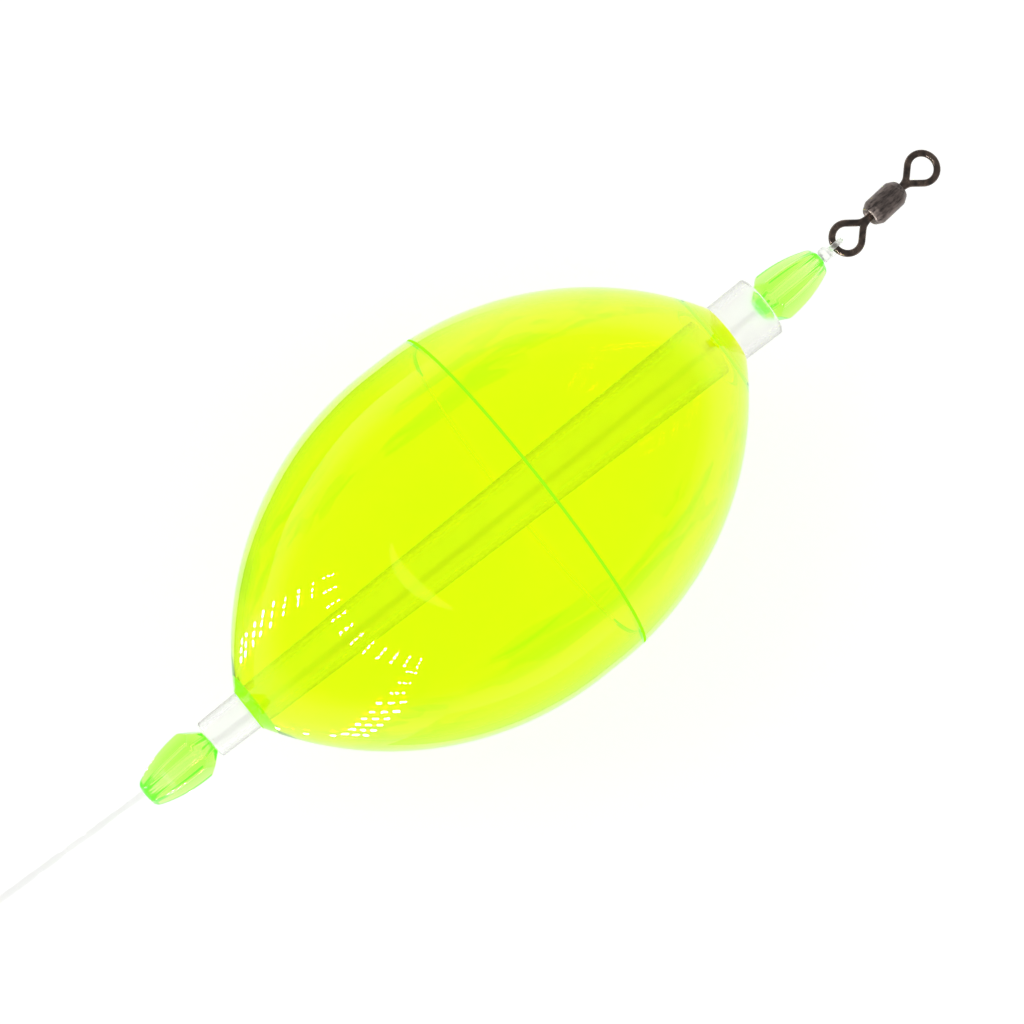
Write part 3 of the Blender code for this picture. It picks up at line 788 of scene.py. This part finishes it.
def edge_glow_material(name, colour, strength):
    """The cut edges of the shell, where the light that its walls carry comes out."""
    material, tree, shader, _ = base_material(name)
    shader.inputs["Base Color"].default_value = (*(EDGE_BASE * share for share in colour), 1.0)
    shader.inputs["Specular IOR Level"].default_value = 0.0
    set_glow(shader, colour, strength)
    roughness = ranged(tree, noise(tree, *EDGE_GRAIN), *EDGE_ROUGH)
    tree.links.new(roughness, shader.inputs["Roughness"])
    return material


shell_material = clear_plastic(
    "neon_shell",
    tint=WHITE,
    ior=1.58,
    rough=(0.0, 0.006),
    absorb=(0.9680, 0.9960, 0.0),
    density=3000.0,
    glow=(0.42, 1.0, 0.0),
    glow_strength=0.06,
    grain=(60.0, 2.0, (0.6, 1.0, 1.0)),
    bump=(0.05, 0.00005),
    mirror=(0.75, 1.0, 0.22),
)
# painted shade: darker streaks along the shell's flanks
add_painted_shade_streaks(shell_material)
tube_material = clear_plastic(
    "milky_tube",
    tint=(0.985, 0.985, 0.98),
    ior=1.5,
    rough=(0.22, 0.27),
    absorb=(0.885, 0.866, 0.862),
    density=155.0,
    glow=(1.0, 1.0, 0.92),
    glow_strength=0.03,
    grain=(900.0, 3.0, (0.08, 1.0, 1.0)),
    bump=(0.012, 0.00006),
)
bead_material = clear_plastic(
    "green_bead",
    tint=WHITE,
    ior=1.55,
    rough=(0.0, 0.05),
    absorb=(0.775, 0.997, 0.30),
    density=760.0,
    glow=(0.26, 1.0, 0.10),
    glow_strength=0.20,
    grain=(500.0, 2.0, EVENLY),
    bump=(0.1, 0.00003),
)
mono_material = clear_plastic(
    "clear_mono",
    tint=(0.99, 0.99, 0.985),
    ior=1.53,
    rough=(0.02, 0.10),
    absorb=(0.10, 0.12, 0.05),
    density=130.0,
    glow=(1.0, 1.0, 0.95),
    glow_strength=0.0,
    grain=(900.0, 2.0, (0.3, 1.0, 1.0)),
    bump=(0.15, 0.00003),
)
knot_material = clear_plastic(
    "knotted_mono",
    tint=(0.97, 0.98, 0.96),
    ior=1.45,
    rough=(0.28, 0.42),
    absorb=(0.50, 0.56, 0.46),
    density=120.0,
    glow=(1.0, 1.0, 0.92),
    glow_strength=0.06,
    grain=(900.0, 2.0, EVENLY),
    bump=(0.15, 0.00003),
)
barrel_material = plated(
    "black_nickel_satin",
    colour=(0.075, 0.064, 0.060),
    warm=(0.235, 0.192, 0.174),
    rough=(0.26, 0.50),
    grain=(3400.0, 3.0, (0.30, 1.0, 1.0)),
    bump=(0.8, 0.00004),
)
eye_material = plated(
    "black_nickel_gloss",
    colour=(0.035, 0.030, 0.028),
    warm=(0.17, 0.125, 0.100),
    rough=(0.08, 0.28),
    grain=(1500.0, 3.0, EVENLY),
    bump=(0.5, 0.00004),
)
shell_materials = (  # in the order of the shell's slots
    shell_material,
    edge_glow_material("neon_edge_green", (0.36, 1.0, 0.01), 1.0),
    edge_glow_material("neon_edge_yellow", (0.92, 0.95, 0.0), 0.90),
)


# ---------------------------------------------------------------- placing
def place_piece(obj, body, materials, slot, *replaced):
    """Gives a piece its materials and its body, and hides the nodes that it stands for; its slot is
    not used.
    """
    for material in materials:
        obj.data.materials.append(material)
    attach(obj, body)
    if replaced:
        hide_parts(*replaced)


for piece in (end_loop, tail):
    piece.data.materials.append(mono_material)

place_piece(make_shell_body(), "float", shell_materials, "shell", "shell_body")
place_piece(make_shell_cap(), "float", shell_materials, "shell", "shell_cap")
place_piece(make_tube(), "peg", (tube_material,), "tube", "peg_tube")
tail_bead = make_bead("faceted_tail_bead", TAIL_BEAD_MOUTH, TAIL_BEAD_YAW, TAIL_BEAD_ROLL)
head_bead = make_bead("faceted_head_bead", HEAD_BEAD_MOUTH, HEAD_BEAD_YAW, HEAD_BEAD_ROLL)
place_piece(tail_bead, "tail_bead_body", (bead_material,), "bead", "tail_bead")
place_piece(head_bead, "head_bead_body", (bead_material,), "bead", "head_bead")
place_piece(make_main_line(), "line", (mono_material,), "mono", "main_line")
place_piece(make_knot(), "line", (knot_material,), "mono")
line_eye = make_eye("swivel_eye_line_side", False)
place_piece(line_eye, "line_eye", (eye_material,), "swivel", "swivel_line_eye")
free_eye = make_eye("swivel_eye_free_side", True)
place_piece(free_eye, "free_eye", (eye_material,), "swivel", "swivel_free_eye")
place_piece(make_barrel(), "barrel", (barrel_material,), "swivel", "swivel_barrel")

# ---------------------------------------------------------------- floor and light
FLOOR_SIZE = 4.0
FLOOR_Z = -0.00012
FLOOR_GREY = 0.55
FLOOR_ROUGHNESS = 0.9
FLOOR_GLOW = 0.78
FLOOR_GLOW_FAR = 0.30
FLOOR_FADE = (0.08, 0.45)  # distances from the middle over which the glow falls
WORLD_GLOW = 0.35
AREA_SIZE = 0.5
AREA_LAMPS = (  # name, place and power; both point at the origin
    ("soft_key", (-0.35, 0.55, 0.75), 1.5),
    ("soft_fill", (0.6, -0.5, 0.6), 0.8),
)
LAMP_DISTANCE = 0.6
LAMP_CENTRE = Vector((-0.018, 0.0, 0.034))  # the part of the shell that mirrors the lamp
LAMP_HEIGHT = 0.59  # of the lamp's top row, as a share of its distance
LAMP_TILT = -0.04
LAMP_ROW_SIDES = (-1.0, 0.725)
LAMP_ROWS = 11
# The lamp's two uprights: where each stands sideways, and the heights of its rows
LAMP_UPRIGHTS = (
    (0.65, (0.36, 0.187, 0.006)),
    (-0.97, (0.47, 0.296, 0.118)),
)
DOT_SPACING = 0.062
DOT_SIZE = (0.010, 0.016)
ROW_DOTS = (-1, 0, 1)
LAMP_GLOW = 300.0
# Lower rows of the uprights: the shell's point that mirrors each, and the direction from there
LOW_ROWS = (
    ((-24.5, 6.1, 30.2), (-0.831, 0.538, -0.141)),
    ((-25.9, 6.0, 28.8), (-0.807, 0.520, -0.280)),
    ((-27.1, 5.7, 27.5), (-0.778, 0.487, -0.397)),
    ((-28.4, 5.4, 26.0), (-0.713, 0.445, -0.542)),
    ((-29.1, 5.2, 24.9), (-0.646, 0.411, -0.643)),
    ((-20.6, -8.4, 32.2), (-0.718, -0.695, -0.039)),
    ((-21.7, -8.7, 31.1), (-0.705, -0.688, -0.170)),
    ((-22.8, -8.7, 30.0), (-0.694, -0.662, -0.282)),
    ((-23.7, -8.8, 29.0), (-0.667, -0.635, -0.390)),
    ((-24.4, -8.8, 28.0), (-0.631, -0.602, -0.490)),
    ((-25.3, -8.8, 26.9), (-0.580, -0.554, -0.597)),
)
# Single dots below the rows, in the same way
LOW_DOTS = (
    ((-27.1, -7.4, 25.7), (-0.580, -0.477, -0.661)),
    ((-29.2, -5.6, 24.3), (-0.568, -0.389, -0.725)),
    ((-31.1, -3.4, 22.8), (-0.549, -0.302, -0.779)),
)
LOW_ROW_HEIGHT = 5.0 * MM  # the lowest that a row stands over the floor
RING_LIGHT_DISTANCE = 0.5
RING_LIGHT_WIDTH = 0.022
RING_LIGHT_GLOW = 1.8
# The ring light's arc: the shell's point that mirrors each step, and the direction from there
RING_LIGHT_ARC = (
    ((-11.1, 4.1, 38.7), (-0.461, 0.414, 0.785)),
    ((-11.7, 3.1, 38.7), (-0.497, 0.312, 0.810)),
    ((-12.0, 2.0, 38.7), (-0.518, 0.210, 0.829)),
    ((-12.0, 0.8, 38.8), (-0.525, 0.088, 0.847)),
    ((-11.9, -0.3, 38.9), (-0.519, -0.026, 0.855)),
    ((-11.7, -1.4, 38.9), (-0.506, -0.145, 0.850)),
    ((-11.4, -2.5, 38.9), (-0.485, -0.247, 0.839)),
    ((-10.9, -3.6, 38.8), (-0.454, -0.359, 0.815)),
    ((-10.3, -4.7, 38.7), (-0.418, -0.460, 0.783)),
)
RING_LIGHT_TAPER = (0.6, 0.2)  # of its ends, in steps of the arc
# Dark cards on the floor beside the float: name, glow, and outline in millimetres
CARDS = (
    ("left_card", 0.10, (
        (-44, 6), (-37, 19), (-24, 32), (-8, 37), (30, 37),
        (40, 90), (-30, 95), (-85, 75), (-95, 15),
    )),
    ("right_card", 0.55, ((-34, -26), (-8, -33), (30, -33), (40, -90), (-60, -90))),
)
CARD_LIFT = 0.05 * MM
CARD_FADE = (-2.0 * MM, 30.0 * MM)  # where a card's glow rises to full, along the float


def make_floor():
    """A pale floor that glows softly near the float and less towards its edges."""
    mesh = bpy.data.meshes.new("floor")
    corners = ((-1, -1), (1, -1), (1, 1), (-1, 1))
    vertices = [(FLOOR_SIZE * x, FLOOR_SIZE * y, FLOOR_Z) for x, y in corners]
    mesh.from_pydata(vertices, [], [(0, 1, 2, 3)])
    floor = new_object("floor", mesh)
    material, tree, shader, _ = base_material("pale_floor")
    shader.inputs["Base Color"].default_value = (FLOOR_GREY, FLOOR_GREY, FLOOR_GREY, 1.0)
    shader.inputs["Roughness"].default_value = FLOOR_ROUGHNESS
    shader.inputs["Specular IOR Level"].default_value = 0.0
    set_glow(shader, WHITE, FLOOR_GLOW)
    place = tree.nodes.new("ShaderNodeNewGeometry")
    distance = tree.nodes.new("ShaderNodeVectorMath")
    distance.operation = "LENGTH"
    tree.links.new(place.outputs["Position"], distance.inputs[0])
    glow = ranged(
        tree, distance.outputs["Value"], FLOOR_GLOW, FLOOR_GLOW_FAR, *FLOOR_FADE, soft=True
    )
    tree.links.new(glow, shader.inputs["Emission Strength"])
    mesh.materials.append(material)


def make_area(name, place, power):
    """A soft lamp that shows in no mirror image."""
    data = bpy.data.lights.new(name, "AREA")
    data.shape = "RECTANGLE"
    data.size = data.size_y = AREA_SIZE
    data.energy = power
    lamp = bpy.data.objects.new(name, data)
    bpy.context.scene.collection.objects.link(lamp)
    lamp.location = place
    lamp.rotation_euler = (-Vector(place)).to_track_quat("-Z", "Y").to_euler()
    lamp.visible_camera = False
    lamp.visible_glossy = False
    lamp.visible_transmission = False


def add_glowing_stage(name, vertices, faces, glow):
    """A glowing shape that shows only in what mirrors or bends its light."""
    mesh = bpy.data.meshes.new(name)
    mesh.from_pydata([tuple(v) for v in vertices], [], faces)
    lamp = new_object(name, mesh)
    material, _, shader, _ = base_material(name + "_glow")
    shader.inputs["Base Color"].default_value = (0.0, 0.0, 0.0, 1.0)
    set_glow(shader, WHITE, glow)
    mesh.materials.append(material)
    lamp.visible_camera = False
    lamp.visible_diffuse = False
    return lamp


def make_lamp_frame():
    """A lamp of short rows of small lights, along the top and down both sides of a frame."""
    vertices, faces = [], []

    def add_dot(middle, across, along):
        first = len(vertices)
        for a, b in ((-1, -1), (1, -1), (1, 1), (-1, 1)):
            vertices.append(middle + across * a + along * b)
        faces.append((first, first + 1, first + 2, first + 3))

    low, high = LAMP_ROW_SIDES
    frame_middle = LAMP_CENTRE + Vector((-LAMP_DISTANCE, 0.0, 0.0))
    sideways = Vector((0.0, 1.0, 0.0)) * LAMP_DISTANCE
    upright = Vector((0.0, 0.0, 1.0)) * LAMP_DISTANCE
    for row in range(LAMP_ROWS):
        y = low + (high - low) * row / (LAMP_ROWS - 1)
        for n in ROW_DOTS:
            height = LAMP_HEIGHT + LAMP_TILT * y + DOT_SPACING * n
            middle = frame_middle + sideways * y + upright * height
            add_dot(middle, sideways * DOT_SIZE[0], upright * DOT_SIZE[1])
    for y, heights in LAMP_UPRIGHTS:
        for height in heights:
            for n in ROW_DOTS:
                middle = frame_middle + upright * height + sideways * (y + DOT_SPACING * n)
                add_dot(middle, sideways * DOT_SIZE[1], upright * DOT_SIZE[0])
    for spots, dots in ((LOW_ROWS, ROW_DOTS), (LOW_DOTS, (0,))):
        for point, direction in spots:
            point, direction = Vector(point) * MM, Vector(direction).normalized()
            reach = (point.z - LOW_ROW_HEIGHT) / -direction.z
            reach = min(reach, LAMP_DISTANCE / -direction.x)
            across = Vector((direction.y, -direction.x, 0.0)).normalized() * reach
            along = direction.cross(across)
            for n in dots:
                middle = point + direction * reach + across * DOT_SPACING * n
                add_dot(middle, across * DOT_SIZE[1], along * DOT_SIZE[0])
    add_glowing_stage("lamp_frame", vertices, faces, LAMP_GLOW)


def make_ring_light():
    """A dim arc over the float that shows as a soft mark on the shell."""
    vertices, faces = [], []
    steps = len(RING_LIGHT_ARC)
    lead, spare = RING_LIGHT_TAPER
    for index, (point, direction) in enumerate(RING_LIGHT_ARC):
        direction = Vector(direction).normalized()
        middle = Vector(point) * MM + direction * RING_LIGHT_DISTANCE
        lengthways = Vector((direction.x, 0.0, direction.z))
        outwards = lengthways.cross(Vector((0.0, 1.0, 0.0))).normalized()
        share = math.sin(math.pi * (index + lead) / (steps + spare))
        for side in (-1, 1):
            vertices.append(middle + outwards * side * RING_LIGHT_WIDTH * share)
    for first in range(0, 2 * (steps - 1), 2):
        faces.append((first, first + 1, first + 3, first + 2))
    add_glowing_stage("ring_light", vertices, faces, RING_LIGHT_GLOW)


def make_card(name, glow, outline):
    """A card that darkens the shell's mirror images near one edge."""
    vertices = [(x * MM, y * MM, CARD_LIFT) for x, y in outline]
    card = add_glowing_stage(name, vertices, [tuple(range(len(outline)))], glow)
    tree = card.data.materials[0].node_tree
    place = tree.nodes.new("ShaderNodeNewGeometry")
    parts = tree.nodes.new("ShaderNodeSeparateXYZ")
    tree.links.new(place.outputs["Position"], parts.inputs["Vector"])
    fade = ranged(tree, parts.outputs["X"], glow, 1.0, *CARD_FADE, soft=True)
    tree.links.new(fade, tree.nodes["Principled BSDF"].inputs["Emission Strength"])
    card.visible_transmission = False
    card.visible_shadow = False


make_floor()
for card in CARDS:
    make_card(*card)
make_lamp_frame()
make_ring_light()
for lamp in AREA_LAMPS:
    make_area(*lamp)

world = bpy.data.worlds.new("studio")
bpy.context.scene.world = world
world.use_nodes = True
world.node_tree.nodes["Background"].inputs["Color"].default_value = (*WHITE, 1.0)
world.node_tree.nodes["Background"].inputs["Strength"].default_value = WORLD_GLOW
bpy.context.scene.view_settings.view_transform = "Standard"

bpy.context.view_layer.update()
